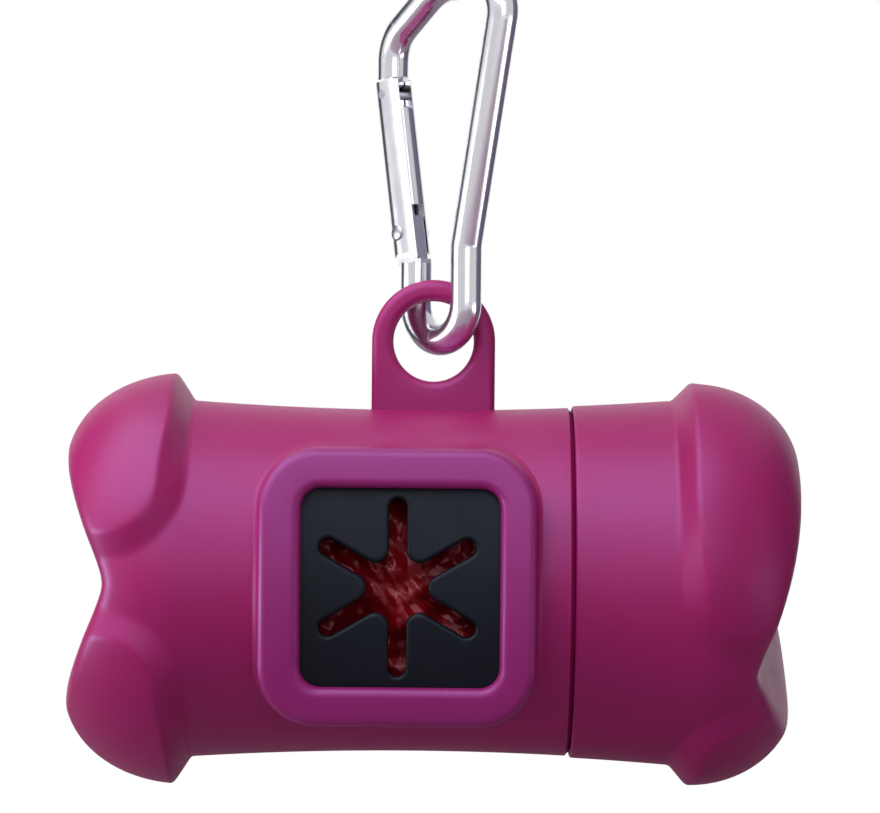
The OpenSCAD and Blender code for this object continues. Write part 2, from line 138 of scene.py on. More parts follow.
# The lobes of either bone end. DOME_R is across the bone and the dome lengths are along it.
LOBE_SHIFT = 2.0
LOBE_R = 22.3
DOME_R = 10.6
DOME_LEN = 14.0
CAP_DOME_LEN = 12.4
LOBE_GAP = 2.8
LOBE_CORNER_R = 9.8
WALL_WIDE, WALL_NARROW = 3.2, 2.1
WALL_EASE_Z, WALL_EASE_LEN = 12.0, 9.0
WALL_CORNER = 0.14
CREST_Z = 13.7
VALLEY_DEPTH = 5.4
VALLEY_ROUND = 1.2
CREST_BLEND = 1.4
CAP_CLOCK = math.radians(32)
CAP_BACK_FLAT = 0.08
FLAT_EASE, FLAT_FADE, FLAT_END = 8.0, 5.0, 16.0

# The rays that find a bone end's surface: where they start, how far they search, and the rays from
# straight out to END_TILT degrees, and from there to sideways.
RAY_T = 17.0
RAY_NEAR, RAY_FAR = 4.0, 40.0
END_TILT = 14
END_RAYS, SIDE_RAYS = 56, 28
HALVINGS = 26

# Rows and columns of the bone's skin. The outlet's window is WINDOW_ROWS of its barrel's rows,
# with WINDOW_FIRST rows before it.
COLUMNS = 400
WINDOW_FIRST = 11
WINDOW_ROWS = 20
SEAM_ROWS = 8
CAP_ROWS = 10
THREAD_ROWS = 41

# The outlet: the boss on the barrel, the frame on the boss, and the opening through both.
OUTLET_X = (frame_low[0] + frame_high[0]) / 2
FRAME_HALF = (frame_high[0] - frame_low[0]) / 2
FRAME_CORNER_R = 6.8
FRAME_FACE = -frame_low[1]
FRAME_OUTER_ROUND = 1.0
FRAME_INNER_ROUND = 1.2
FRAME_INNER_DROP = 0.15
OUTLET_CROWN = 2.2
OUTLINE_POINTS = 400
PLATE_T = 2.0
PLATE_LIFT = 0.03
PLATE_EDGE_IN, PLATE_EDGE_OUT, PLATE_EDGE_H = 0.45, 0.06, 0.3
OPENING_HALF = 11.3
OPENING_CORNER_R = 2.3
OPENING_SHIFT = 0.35
POCKET_WALL = 1.6
SKIRT_T = 1.2
SKIRT_GAP = 0.2
BOSS_FLARE = 1.1
BOSS_ROUND = 0.3
BOSS_SINK = 0.12
BOSS_TUNNEL, BOSS_FOOT = 1.5, 4.5
BOSS_SKIN = 1.0

# The star in the pad: a hole, and slits with round ends that are blended into it.
PAD_FACE = -pad_low[1]
PAD_BACK = -pad_high[1]
PAD_HALF = (pad_high[0] - pad_low[0]) / 2
PAD_CORNER_R = 4.0
PAD_EDGE = 0.45
PAD_BACK_EDGE = 0.15
PAD_LAND = 0.02
PAD_COLUMNS = 2880
PAD_HALVINGS = 24
STAR_SLITS = 6
STAR_HOLE_R = 3.5
SLIT_HALF = 1.0
SLIT_REACH = 10.1
SLIT_BLEND = 0.9
STAR_LIMIT = PAD_HALF - 0.05

# The bag's end: its count of creases, the first one's direction and the turn to the next in
# degrees, the first one's period, how that shrinks, their depth in periods, and their shift.
TAIL_HALF = (tail_high[0] - tail_low[0]) / 2
TAIL_FRONT = -tail_low[1]
TAIL_BACK = -tail_high[1] + 0.5
FILM_T = 0.06
FILM_POINTS = 150
FOLDS = 9
FOLD_FIRST, FOLD_TURN = 22, 137.5
FOLD_PERIOD, FOLD_SHRINK = 4.6, 0.84
FOLD_DEPTH = 0.30
FOLD_SHIFT = 0.37
SWELL_HEIGHT, SWELL_Z, SWELL_SPREAD = 1.5, 2.5, 34

# The roll: its layers and the groove they leave, its edges, and how far its side stays inside.
ROLL_LAYER = 0.7
ROLL_GROOVE = 0.35
ROLL_END_EDGE, ROLL_SIDE_EDGE = 0.5, 0.4
ROLL_HOLE_GAP = 0.2
ROLL_SLACK = 0.14
ROLL_SHRINK = 0.25
WRINKLE = 0.12
ROLL_COLUMNS = 240
ROLL_END_ROWS, ROLL_SIDE_ROWS = 66, 60

# The eyelet, whose foot is inside the barrel.
EYELET_R = 7.3
EYELET_HOLE_R = 4.75
EYELET_HALF_T = 1.25
EYELET_ROUND = 1.05
EYELET_FOOT_Z = 16.0
EYELET_COLUMNS = 200
EYELET_EDGE_ROWS = 15

# The gate's rivet: half its shank's length, and its domed heads.
RIVET_R = 0.75
RIVET_HALF = 2.0
RIVET_HEAD_R = 1.0
RIVET_HEAD_H = 0.35
RIVET_COLUMNS = 48

# The closing spring: the rise of an end's closed turn is SPRING_CLOSED wires.
SPRING_LEN = 6.0
SPRING_WIRE = 0.28
SPRING_TURNS = 9
SPRING_CLOSED = 1.1
COIL_R = 0.66
COIL_STEPS, WIRE_COLUMNS = 24, 10

# Points nearer than this are merged.
MERGE_GAP = 0.002


# ---------- meshes ----------


def show(name, data):
    """Puts a mesh, lamp or camera into the scene as an object."""
    shown = bpy.data.objects.new(name, data)
    bpy.context.scene.collection.objects.link(shown)
    return shown


def add_piece(name, patches, body, slot, replaced=(), sharp=40):
    """Makes one object from grids of points, in the material that the slot names.

    A patch is (points, wrap_rows, wrap_columns, keep): points is a rows x columns x 3 grid, and
    keep says which of its cells are faces. Points that meet are merged, and faces turned outwards.
    Edges bent by more than sharp degrees stay sharp.
    """
    points, faces, count = [], [], 0
    for grid, wrap_rows, wrap_columns, keep in patches:
        rows, columns = grid.shape[:2]
        index = count + np.arange(rows * columns).reshape(rows, columns)
        if wrap_rows:
            index = np.concatenate([index, index[:1]], axis=0)
        if wrap_columns:
            index = np.concatenate([index, index[:, :1]], axis=1)
        cells = np.stack([index[:-1, :-1], index[1:, :-1], index[1:, 1:], index[:-1, 1:]], axis=-1)
        faces.append(cells[keep] if keep is not None else cells.reshape(-1, 4))
        points.append(grid.reshape(-1, 3))
        count += rows * columns
    mesh = bpy.data.meshes.new(name)
    mesh.from_pydata(np.concatenate(points) * MM + MIDDLE, [], np.concatenate(faces).tolist())
    merged = bmesh.new()
    merged.from_mesh(mesh)
    bmesh.ops.remove_doubles(merged, verts=merged.verts, dist=MERGE_GAP * MM)
    bmesh.ops.recalc_face_normals(merged, faces=merged.faces)
    merged.to_mesh(mesh)
    merged.free()
    mesh.polygons.foreach_set("use_smooth", np.ones(len(mesh.polygons), bool))
    mesh.set_sharp_from_angle(angle=math.radians(sharp))
    piece = show(name, mesh)
    mesh.materials.append(MATERIALS[slot])
    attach(piece, body)
    if replaced:
        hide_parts(*replaced)
    return piece


def smooth_max(a, b, blend):
    """The larger of two fields, with a parabola added where they are within blend of each other."""
    near = np.clip(blend - np.abs(a - b), 0, None) / blend
    return np.maximum(a, b) + near * near * blend / 4


def smooth_min(a, b, blend):
    """The smaller of two fields, with a parabola taken off where they are nearly the same."""
    return -smooth_max(-a, -b, blend)


def ease(share):
    """Rises smoothly from 0 to 1, as three squares less two cubes, level at either end."""
    share = np.clip(share, 0, 1)
    return share * share * (3 - 2 * share)


def round_ramp(share, corner):
    """A straight rise from 0 to 1 whose two corners are rounded."""
    return np.clip(smooth_min(smooth_max(share, 0 * share, corner), 1 + 0 * share, corner), 0, 1)


def quarter(count):
    """Angles over a quarter of a circle, from 0."""
    return np.linspace(0, math.pi / 2, count)


def around(count):
    """Angles over a whole circle, without its end."""
    return np.linspace(0, 2 * math.pi, count, endpoint=False)


# ---------- the bone ----------


def barrel_radius(x):
    """A shallow parabola, narrowest at the waist, that eases to level beyond either neck."""
    steepness = NECK_RISE / (LEFT_NECK_X - WAIST_X) ** 2
    inside = np.clip(x, LEFT_NECK_X, CAP_NECK_X)
    past = np.clip(np.abs(x - inside), 0, NECK_EASE)
    slope = 2 * steepness * np.abs(inside - WAIST_X)
    past = past - past**2 / (2 * NECK_EASE)
    return WAIST_R + steepness * (inside - WAIST_X) ** 2 + slope * past


def bar_field(t, off_axis, radius, dome_len):
    """Distance to a round bar from the distance off its axis.

    The bar's end at t = 0 is a quarter of an ellipse, DOME_R across and dome_len along.
    """
    along = (dome_len - t) * DOME_R / dome_len
    across = off_axis - (radius - DOME_R)
    outside = np.hypot(np.maximum(along, 0), np.maximum(across, 0))
    return outside + np.minimum(np.maximum(along, across), 0) - DOME_R


def lobe_outline(t, height):
    """Distance outside a lobe's outline seen from the front: two straight sides, one round corner.

    One side lies across the bone at LOBE_LEN, and the other along it at a height of LOBE_GAP.
    """
    along = t - (LOBE_LEN - LOBE_CORNER_R)
    down = (LOBE_GAP + LOBE_CORNER_R) - height
    outside = np.hypot(np.maximum(along, 0), np.maximum(down, 0))
    return outside + np.minimum(np.maximum(along, down), 0) - LOBE_CORNER_R


def bone_end_field(t, y, z, neck_r, dome_len, back_flat):
    """Signed field of a bone end, negative inside.

    A domed neck and a wider domed bar are mixed by a ramp that climbs inwards from the lobe's
    outline, and a valley with two flat flanks and a round floor is cut across the end face. The
    back of the upper lobe is flatter by the share back_flat, which fades towards the neck.
    """
    height = np.abs(z)
    fade = ease((FLAT_END - t) / FLAT_FADE)
    y = y * (1 + back_flat * ease(y / FLAT_EASE) * ease(z / FLAT_EASE) * fade)
    neck = bar_field(t, np.hypot(y, z), neck_r, dome_len)
    lobe = bar_field(t, np.hypot(y, height - LOBE_SHIFT), LOBE_R, dome_len)
    narrowing = ease((height - WALL_EASE_Z) / WALL_EASE_LEN)
    width = WALL_WIDE + (WALL_NARROW - WALL_WIDE) * narrowing
    share = round_ramp(-lobe_outline(t, height) / width, WALL_CORNER)
    mixed = neck + share * (lobe - neck)
    rounded = np.hypot(z, VALLEY_ROUND) - VALLEY_ROUND
    flank = math.atan2(VALLEY_DEPTH, CREST_Z - VALLEY_ROUND)
    valley = (VALLEY_DEPTH * (1 - rounded / (CREST_Z - VALLEY_ROUND)) - t) * math.cos(flank)
    return smooth_max(mixed, valley, CREST_BLEND)


def bone_end_grid(neck_radius, dome_len, back_flat, tilt, angles):
    """Points of a bone end as (t, y, z), from the pole on the end face to the neck.

    Rays leave one point on the axis, from straight out at the end to straight out sideways, and
    each point is where the field crosses zero along its ray, found by halving. t is the distance
    from the end face, and the end is turned about the axis by tilt.
    """
    degrees = np.concatenate(
        [np.linspace(90, END_TILT, END_RAYS), np.linspace(END_TILT, 0, SIDE_RAYS)[1:]]
    )
    rise = np.radians(degrees)[:, None]
    out_t = -np.sin(rise) + 0 * angles
    out_y = -np.cos(rise) * np.cos(angles)
    out_z = np.cos(rise) * np.sin(angles)
    own_y = out_y * math.cos(tilt) + out_z * math.sin(tilt)
    own_z = out_z * math.cos(tilt) - out_y * math.sin(tilt)
    near, far = np.full(out_t.shape, RAY_NEAR), np.full(out_t.shape, RAY_FAR)
    for _ in range(HALVINGS):
        middle = (near + far) / 2
        t = RAY_T + middle * out_t
        own = (t, middle * own_y, middle * own_z)
        inside = bone_end_field(*own, neck_radius(t), dome_len, back_flat) < 0
        near, far = np.where(inside, middle, near), np.where(inside, far, middle)
    return RAY_T + near * out_t, near * out_y, near * out_z


def ring_grid(profile, angles):
    """Turns a profile of (x, radius) pairs about the barrel's axis."""
    x = np.array([p[0] for p in profile])[:, None] + 0 * angles
    radius = np.array([p[1] for p in profile])[:, None] + 0 * angles
    return np.stack([x, -radius * np.cos(angles), radius * np.sin(angles)], axis=-1)


def thread_height(x, angles, first_x, turns):
    """Height of a helical ridge over a grid of places along X and angles, faded at both ends.

    The ridge's middle goes one pitch along X as the angle falls by one turn, which makes a
    right-handed thread.
    """
    height = 0 * x
    for turn in range(int(math.ceil(turns)) + 1):
        wound = turn + 1 - angles / (2 * math.pi)
        off = np.abs(x - first_x - PITCH * wound)
        fade = np.clip(wound / THREAD_FADE, 0, 1) * np.clip((turns - wound) / THREAD_FADE, 0, 1)
        ridge = round_ramp((RIDGE_HALF - off) / RIDGE_FLANK, RIDGE_CORNER)
        height = np.maximum(height, fade * ridge)
    return RIDGE_H * height


def threaded_grid(first, last, radius, first_x, turns, inward, angles):
    """A cylinder between two places along X with a helical ridge outside it, or inside it."""
    x = np.linspace(first, last, THREAD_ROWS)[:, None] + 0 * angles
    ridge = thread_height(x, angles, first_x, turns)
    r = radius - ridge if inward else radius + ridge
    return np.stack([x, -r * np.cos(angles), r * np.sin(angles)], axis=-1)


def hollow_end(end_x, side, angles):
    """Domed end of the roll's chamber: the radius shrinks along a quarter ellipse to a pole."""
    start = end_x - side * HOLLOW_DEPTH
    return ring_grid(
        [(start + side * HOLLOW_DEPTH * math.sin(a), BORE_R * math.cos(a)) for a in quarter(14)],
        angles,
    )


def body_patches():
    """Barrel, left bone end and spigot as one closed skin, with the outlet's window cut through.

    Its rows run from the end face's pole over the barrel, the seam's seat and the threaded spigot,
    and back through the bore to the chamber's pole. The window's cells are left out of the outside
    and of the bore, and a wall joins their edges.
    """
    angles = around(COLUMNS)[None, :]
    t, y, z = bone_end_grid(lambda t: barrel_radius(t - LEFT_END), DOME_LEN, 0, 0, angles)
    end = np.stack([t - LEFT_END, y, z], axis=-1)
    window = [OUTLET_X - OPENING_HALF, OUTLET_X + OPENING_HALF]
    barrel_x = np.concatenate(
        [
            np.linspace(RAY_T - LEFT_END, window[0], WINDOW_FIRST + 2)[1:],
            np.linspace(*window, WINDOW_ROWS + 1)[1:],
            np.linspace(window[1], SEAM_X - BODY_EDGE, SEAM_ROWS)[1:],
        ]
    )
    window_x = barrel_x[WINDOW_FIRST : WINDOW_FIRST + WINDOW_ROWS + 1]
    profile = [(x, barrel_radius(x)) for x in barrel_x]
    for a in np.linspace(BODY_EDGE_FROM, math.pi / 2, 5):
        x = SEAM_X + BODY_EDGE * (math.sin(a) - 1)
        profile.append((x, barrel_radius(x) + BODY_EDGE * (math.cos(a) - 1)))
    profile += [
        (SEAM_X + SEAT_START, SEAT_R),
        (SEAM_X + SEAT_END, SEAT_R - SEAT_DROP),
        (SEAM_X + BODY_SHOULDER, SPIGOT_R + BODY_SHOULDER),
    ]
    outer = np.concatenate([end, ring_grid(profile, angles)])
    spigot = threaded_grid(
        SEAM_X + BODY_SHOULDER + SPIGOT_RUN_IN, SPIGOT_END - SPIGOT_LIP, SPIGOT_R,
        SEAM_X + THREAD_START, SPIGOT_TURNS, False, angles,
    )
    lip = [(SPIGOT_END, SPIGOT_R - SPIGOT_LIP), (SPIGOT_END, BORE_R + SPIGOT_LIP)]
    bore = [(x, BORE_R) for x in (SPIGOT_END - SPIGOT_LIP, SEAM_X, *window_x[::-1])]
    inner_end = hollow_end(END_WALL - HALF_BONE, -1, angles)
    inner = np.concatenate([ring_grid(lip + bore, angles), inner_end])
    skin = np.concatenate([outer, spigot, inner])

    outer_first = len(end) + WINDOW_FIRST
    inner_first = len(outer) + len(spigot) + len(lip) + 2
    half = int(round(math.asin(OPENING_HALF / WAIST_R) / (2 * math.pi) * COLUMNS))
    keep = np.ones((len(skin) - 1, COLUMNS), bool)
    cut = np.r_[0:half, COLUMNS - half : COLUMNS]
    for start in (outer_first, inner_first):
        keep[np.ix_(np.arange(start, start + WINDOW_ROWS), cut)] = False
    last = WINDOW_ROWS
    loop = [(row, -half) for row in range(last)] + [(last, c) for c in range(-half, half)]
    loop += [(row, half) for row in range(last, 0, -1)] + [(0, c) for c in range(half, -half, -1)]
    rows, columns = np.array(loop).T
    wall = np.stack([skin[outer_first + rows, columns], skin[inner_first + last - rows, columns]])
    return [(skin, False, True, keep), (wall, False, True, None)]


def cap_patches():
    """Screw cap: rim, outside and turned bone end, and inside it the bore with its thread.

    Its rows run from the rim over the outside to the end face's pole, then from the chamber's pole
    through the threaded bore and the seam's cone to the rim again.
    """
    angles = around(COLUMNS)[None, :]
    t, y, z = bone_end_grid(
        lambda t: barrel_radius(RIGHT_END - t) + CAP_STEP,
        CAP_DOME_LEN, CAP_BACK_FLAT, CAP_CLOCK, angles,
    )
    end = np.stack([RIGHT_END - t, y, z], axis=-1)
    rim_x = RIM_X + SEAT_GAP
    profile = []
    for a in np.linspace(0, RIM_EDGE_TO, 6):
        x = rim_x + RIM_EDGE * (1 - math.cos(a))
        profile.append((x, barrel_radius(x) + CAP_STEP + RIM_EDGE * (math.sin(a) - 1)))
    for x in np.linspace(rim_x + RIM_LEN, RIGHT_END - RAY_T, CAP_ROWS):
        profile.append((x, barrel_radius(x) + CAP_STEP))
    outer = np.concatenate([ring_grid(profile, angles), end[:-1][::-1]])
    stop = SPIGOT_END + CAP_STOP_GAP
    root = SPIGOT_R + RIDGE_H + THREAD_GAP
    thread = threaded_grid(
        stop, rim_x + CAP_SHOULDER + CAP_RUN_OUT, root,
        SEAM_X + THREAD_START + PITCH / 2, CAP_TURNS, True, angles,
    )
    inner_end = hollow_end(HALF_BONE - END_WALL, 1, angles)[::-1]
    step = ring_grid([(stop, BORE_R)], angles)
    lift = SEAT_R + SEAT_GAP
    seat = [
        (rim_x + CAP_SHOULDER, root),
        (rim_x + SEAT_END, lift - SEAT_DROP + CAP_SEAT_LIFT),
        (rim_x + SEAT_START, lift),
    ]
    inner = [inner_end, step, thread, ring_grid(seat, angles)]
    return [(np.concatenate([outer, *inner, outer[:1]]), False, True, None)]


# ---------- outlet ----------


def square_outline(half, corner, count):
    """Points (x, z) of a rounded square of that half width, evenly spaced from its right side.

    A quarter of it is half a side, a corner's arc and half the next side. The place along the
    outline says which quarter a point is in, and the quarter is turned to suit.
    """
    straight = half - corner
    arc = corner * math.pi / 2
    side = 2 * straight + arc
    place = np.linspace(0, 4 * side, count, endpoint=False)
    turn = np.floor(place / side)
    along = place - turn * side
    bend = np.clip((along - straight) / max(arc, 1e-9), 0, 1) * math.pi / 2
    past = np.clip(along - straight - arc, 0, None)
    x = straight + corner * np.cos(bend) - past
    z = np.minimum(along, straight) + corner * np.sin(bend)
    spin = turn * math.pi / 2
    around_x = x * np.cos(spin) - z * np.sin(spin)
    around_z = x * np.sin(spin) + z * np.cos(spin)
    return np.stack([around_x, around_z], axis=-1)


def crown(z):
    """How far the outlet's face falls back above and below its middle, a shallow parabola."""
    return OUTLET_CROWN * (z / FRAME_HALF) ** 2


def square_loop(half, corner, y):
    """One loop of a rounded square in front of the outlet: y is one depth or one for each point."""
    outline = square_outline(half, corner, OUTLINE_POINTS)
    return np.stack([outline[:, 0] + OUTLET_X, y + 0 * outline[:, 0], outline[:, 1]], axis=-1)


def crowned_loop(half, corner, y):
    """A rounded-square loop that lies on the crowned face."""
    loop = square_loop(half, corner, y)
    loop[:, 1] += crown(loop[:, 2])
    return loop


def boss_patches():
    """Square boss around the outlet.

    Its foot flares on to the barrel along a quarter circle, its rim is rounded, and its front has
    a pocket for the pad, with a square hole through to the roll.
    """
    front = FRAME_FACE - PLATE_T
    loops = []
    for a in quarter(9):
        spread = BOSS_FLARE * (1 - math.sin(a))
        half, corner = FRAME_HALF + spread, FRAME_CORNER_R + spread
        outline = square_outline(half, corner, OUTLINE_POINTS)
        surface = np.sqrt(barrel_radius(outline[:, 0] + OUTLET_X) ** 2 - outline[:, 1] ** 2)
        rise = BOSS_FLARE * (1 - math.cos(a)) - BOSS_SINK * (1 - math.sin(a))
        loops.append(square_loop(half, corner, -(surface + rise)))
    foot = loops[-1][:, 1]
    rim = crown(loops[-1][:, 2]) - (front - BOSS_ROUND)
    for share in (0.35, 0.7, 0.95):
        loops.append(square_loop(FRAME_HALF, FRAME_CORNER_R, foot + share * (rim - foot)))
    for a in quarter(5):
        inset = BOSS_ROUND * (1 - math.cos(a))
        y = front - BOSS_ROUND * (1 - math.sin(a))
        loops.append(crowned_loop(FRAME_HALF - inset, FRAME_CORNER_R - inset, -y))
    pocket = FRAME_HALF - POCKET_WALL
    for half, corner, y in (
        (pocket, FRAME_CORNER_R - POCKET_WALL, front),
        (pocket, FRAME_CORNER_R - POCKET_WALL, PAD_BACK),
        (OPENING_HALF, OPENING_CORNER_R, PAD_BACK),
        (OPENING_HALF, OPENING_CORNER_R, BORE_R - BOSS_TUNNEL),
        (FRAME_HALF, FRAME_CORNER_R, BORE_R - BOSS_FOOT),
    ):
        loops.append(crowned_loop(half, corner, -y))
    inside = loops[-1]
    under = np.sqrt(WAIST_R**2 - inside[:, 2] ** 2) - BOSS_SKIN
    inside[:, 1] = -np.minimum(-inside[:, 1], under)
    return [(np.stack(loops), True, True, None)]


def bezel_patches():
    """Snap-in frame: a crowned ring with round edges, and a skirt behind it that holds the pad.

    The section is a list of (inset from the outer edge, depth). Each point of it becomes a rounded
    square, whose corners go from the frame's radius to the opening's.
    """
    back = FRAME_FACE - PLATE_T
    width = FRAME_HALF - OPENING_HALF
    section = []
    for a in quarter(10):
        inset = FRAME_OUTER_ROUND * (1 - math.cos(a))
        section.append((inset, FRAME_FACE - FRAME_OUTER_ROUND * (1 - math.sin(a))))
    for a in quarter(8)[::-1]:
        inset = width - FRAME_INNER_ROUND * (1 - math.cos(a))
        drop = FRAME_INNER_DROP + FRAME_INNER_ROUND * (1 - math.sin(a))
        section.append((inset, FRAME_FACE - drop))
    skirt_out = POCKET_WALL + SKIRT_GAP
    skirt_in = skirt_out + SKIRT_T
    skirt_back = PAD_BACK + SKIRT_GAP
    section += [(width, back), (skirt_in, back), (skirt_in, skirt_back), (skirt_out, skirt_back)]
    section += [(skirt_out, back + PLATE_LIFT), (PLATE_EDGE_IN, back + PLATE_LIFT)]
    section += [(PLATE_EDGE_OUT, back + PLATE_EDGE_H)]
    loops = []
    for inset, y in section:
        share = inset / width
        corner = FRAME_CORNER_R + (OPENING_CORNER_R - FRAME_CORNER_R) * share
        loop = crowned_loop(FRAME_HALF - inset, max(corner, FRAME_CORNER_R - inset), -y)
        loop[:, 0] += OPENING_SHIFT * share**2
        loops.append(loop)
    return [(np.stack(loops), True, True, None)]


# ---------- star pad ----------


def star_field(x, z):
    """Distance into the rubber from the star: a round hole joined to slits with round ends."""
    field = np.hypot(x, z) - STAR_HOLE_R
    for slit in range(STAR_SLITS):
        a = math.radians(90 + slit * 360 / STAR_SLITS)
        along = x * math.cos(a) + z * math.sin(a)
        across = -x * math.sin(a) + z * math.cos(a)
        over = np.maximum(np.maximum(-along, along - (SLIT_REACH - SLIT_HALF)), 0)
        field = smooth_min(field, np.hypot(over, across) - SLIT_HALF, SLIT_BLEND)
    return field


def star_loop(depth, angles):
    """How far from the star's middle its field reaches a depth, along each ray, by halving."""
    near, far = np.zeros_like(angles), np.full_like(angles, STAR_LIMIT)
    for _ in range(PAD_HALVINGS):
        middle = (near + far) / 2
        inside = star_field(middle * np.cos(angles), middle * np.sin(angles)) < depth
        near, far = np.where(inside, middle, near), np.where(inside, far, middle)
    return near


def square_rim(angles):
    """How far a rounded square the size of the pad reaches along each ray from its middle.

    That is the half width over the ray's cosine to the nearest side or, past the side's straight
    part, where the ray leaves the corner's circle.
    """
    straight = PAD_HALF - PAD_CORNER_R
    folded = np.abs((angles + math.pi / 4) % (math.pi / 2) - math.pi / 4)
    flat = PAD_HALF / np.cos(folded)
    gap = straight * (np.cos(folded) + np.sin(folded))
    inner = straight**2 * 2 - PAD_CORNER_R**2
    curved = gap + np.sqrt(np.maximum(gap**2 - inner, 0))
    return np.where(np.sin(folded) * flat > straight, curved, flat)


def pad_patches():
    """Rubber pad: loops from the star's rounded edge out to the square rim, front and back."""
    angles = around(PAD_COLUMNS)
    rim = square_rim(angles)
    start = star_loop(PAD_EDGE + PAD_LAND, angles)
    loops = []
    for a in quarter(7):
        radius = star_loop(PAD_EDGE * (1 - math.cos(a)), angles)
        loops.append((radius, PAD_FACE - PAD_EDGE * (1 - math.sin(a))))
    for share in (0.02, 0.3, 0.6, 1.0):
        loops.append((start + (rim - start) * share, PAD_FACE))
    loops += [(rim, PAD_BACK), (start, PAD_BACK)]
    loops.append((star_loop(PAD_BACK_EDGE, angles), PAD_BACK))
    loops.append((star_loop(0.0, angles), PAD_BACK + PAD_BACK_EDGE))
    grid = []
    for radius, y in loops:
        x, z = radius * np.cos(angles), radius * np.sin(angles)
        grid.append(np.stack([x + OUTLET_X, crown(z) - y, z], axis=-1))
    return [(np.stack(grid), True, True, None)]


# ---------- bags ----------


def crease(place):
    """Folds like a bent strip of paper: rises straight from 0 to 1 and falls straight back."""
    return np.abs((place % 2) - 1)


def gathered_film_patches():
    """Crumpled end of the first bag.

    Creases in many directions, each shallower and closer than the one before, lie over a swelling
    towards the star's middle. Each crease wanders off its line along slow waves.
    """
    across = np.linspace(-1, 1, FILM_POINTS)
    u, v = np.meshgrid(across, across, indexing="ij")
    x, z = u * TAIL_HALF, v * TAIL_HALF
    height = SWELL_HEIGHT * np.exp(-(x**2 + (z - SWELL_Z) ** 2) / SWELL_SPREAD)
    wander = 0.9 * np.sin(x / 3.1 + 0.6) + 0.8 * np.sin(z / 2.7 + x / 5.3)
    for fold in range(FOLDS):
        turn = math.radians(FOLD_FIRST + FOLD_TURN * fold)
        period = FOLD_PERIOD * FOLD_SHRINK**fold
        line = x * math.cos(turn) + z * math.sin(turn) + wander * (0.5 + 0.12 * fold)
        height += FOLD_DEPTH * period * crease(line / period + FOLD_SHIFT * fold)
    height = (height - height.min()) / (height.max() - height.min())
    y = TAIL_BACK + (TAIL_FRONT - TAIL_BACK) * height
    return [(np.stack([x + OUTLET_X, crown(z) - y, z], axis=-1), False, False, None)]


def wound_film_patches():
    """Roll of bags: a section through the roll is carried round its axis.

    The outside shrinks by one layer in a turn, with faint wrinkles, and the ends show the wound
    layers as a shallow spiral groove.
    """
    angles = np.linspace(0, 2 * math.pi, ROLL_COLUMNS)[None, :]
    share = angles / (2 * math.pi)
    roll_r = (roll_high[1] - roll_low[1]) / 2
    middle_z = (roll_high[2] + roll_low[2]) / 2
    hole_r = core_high[1] + ROLL_HOLE_GAP
    reach = np.linspace(hole_r, roll_r - ROLL_END_EDGE, ROLL_END_ROWS)[:, None]
    groove = ROLL_GROOVE * crease(2 * (reach / ROLL_LAYER - share))
    near = roll_low[0] + groove
    far = roll_high[0] - groove
    side = roll_low[0] + ROLL_SIDE_EDGE, roll_high[0] - ROLL_SIDE_EDGE
    side_x = np.linspace(*side, ROLL_SIDE_ROWS)[:, None] + 0 * angles
    wave = np.sin(side_x / 1.9 + 3 * np.sin(angles * 2))
    wrinkle = WRINKLE * wave * np.sin(angles * 7 + side_x / 4.3)
    side_r = roll_r - ROLL_SLACK - ROLL_SHRINK * share - np.abs(wrinkle)
    x = np.concatenate([near, side_x, far[::-1], near[:1]])
    reach = reach + 0 * angles
    r = np.concatenate([reach, side_r, reach[::-1], reach[:1]])
    grid = np.stack([x, -r * np.cos(angles), middle_z + r * np.sin(angles)], axis=-1)
    return [(grid, False, False, None)]


# ---------- hanging eyelet ----------


def eyelet_patches():
    """Flat ring on the barrel's top: straight sides, round top, and a round edge inside and out.

    Each loop is a distance from the hole's middle along every ray, at one depth. The outer edge is
    a circle above the middle, and below it whichever is nearer of the side and the foot.
    """
    angles = around(EYELET_COLUMNS)
    sides = EYELET_R / np.maximum(np.abs(np.cos(angles)), 1e-6)
    bottom = (EYELET_Z - EYELET_FOOT_Z) / np.maximum(-np.sin(angles), 1e-6)
    outer = np.where(np.sin(angles) < 0, np.minimum(sides, bottom), EYELET_R)
    turn = np.linspace(-math.pi / 2, math.pi / 2, EYELET_EDGE_ROWS)
    depth = (EYELET_HALF_T - EYELET_ROUND) * np.sign(np.sin(turn)) + EYELET_ROUND * np.sin(turn)
    edge = list(zip(EYELET_ROUND * (1 - np.cos(turn)), depth))
    face = [
        outer - EYELET_ROUND + (EYELET_HOLE_R + 2 * EYELET_ROUND - outer) * share
        for share in (0.25, 0.5, 0.75)
    ]
    loops = [(outer - inset, y) for inset, y in edge]
    loops += [(r, EYELET_HALF_T) for r in face]
    loops += [(EYELET_HOLE_R + inset + 0 * outer, y) for inset, y in edge[::-1]]
    loops += [(r, -EYELET_HALF_T) for r in face[::-1]]
    grid = [
        np.stack([EYELET_X + r * np.cos(angles), y + 0 * r, EYELET_Z + r * np.sin(angles)], axis=-1)
        for r, y in loops
    ]
    return [(np.stack(grid), True, True, None)]


# ---------- hinge rivet ----------


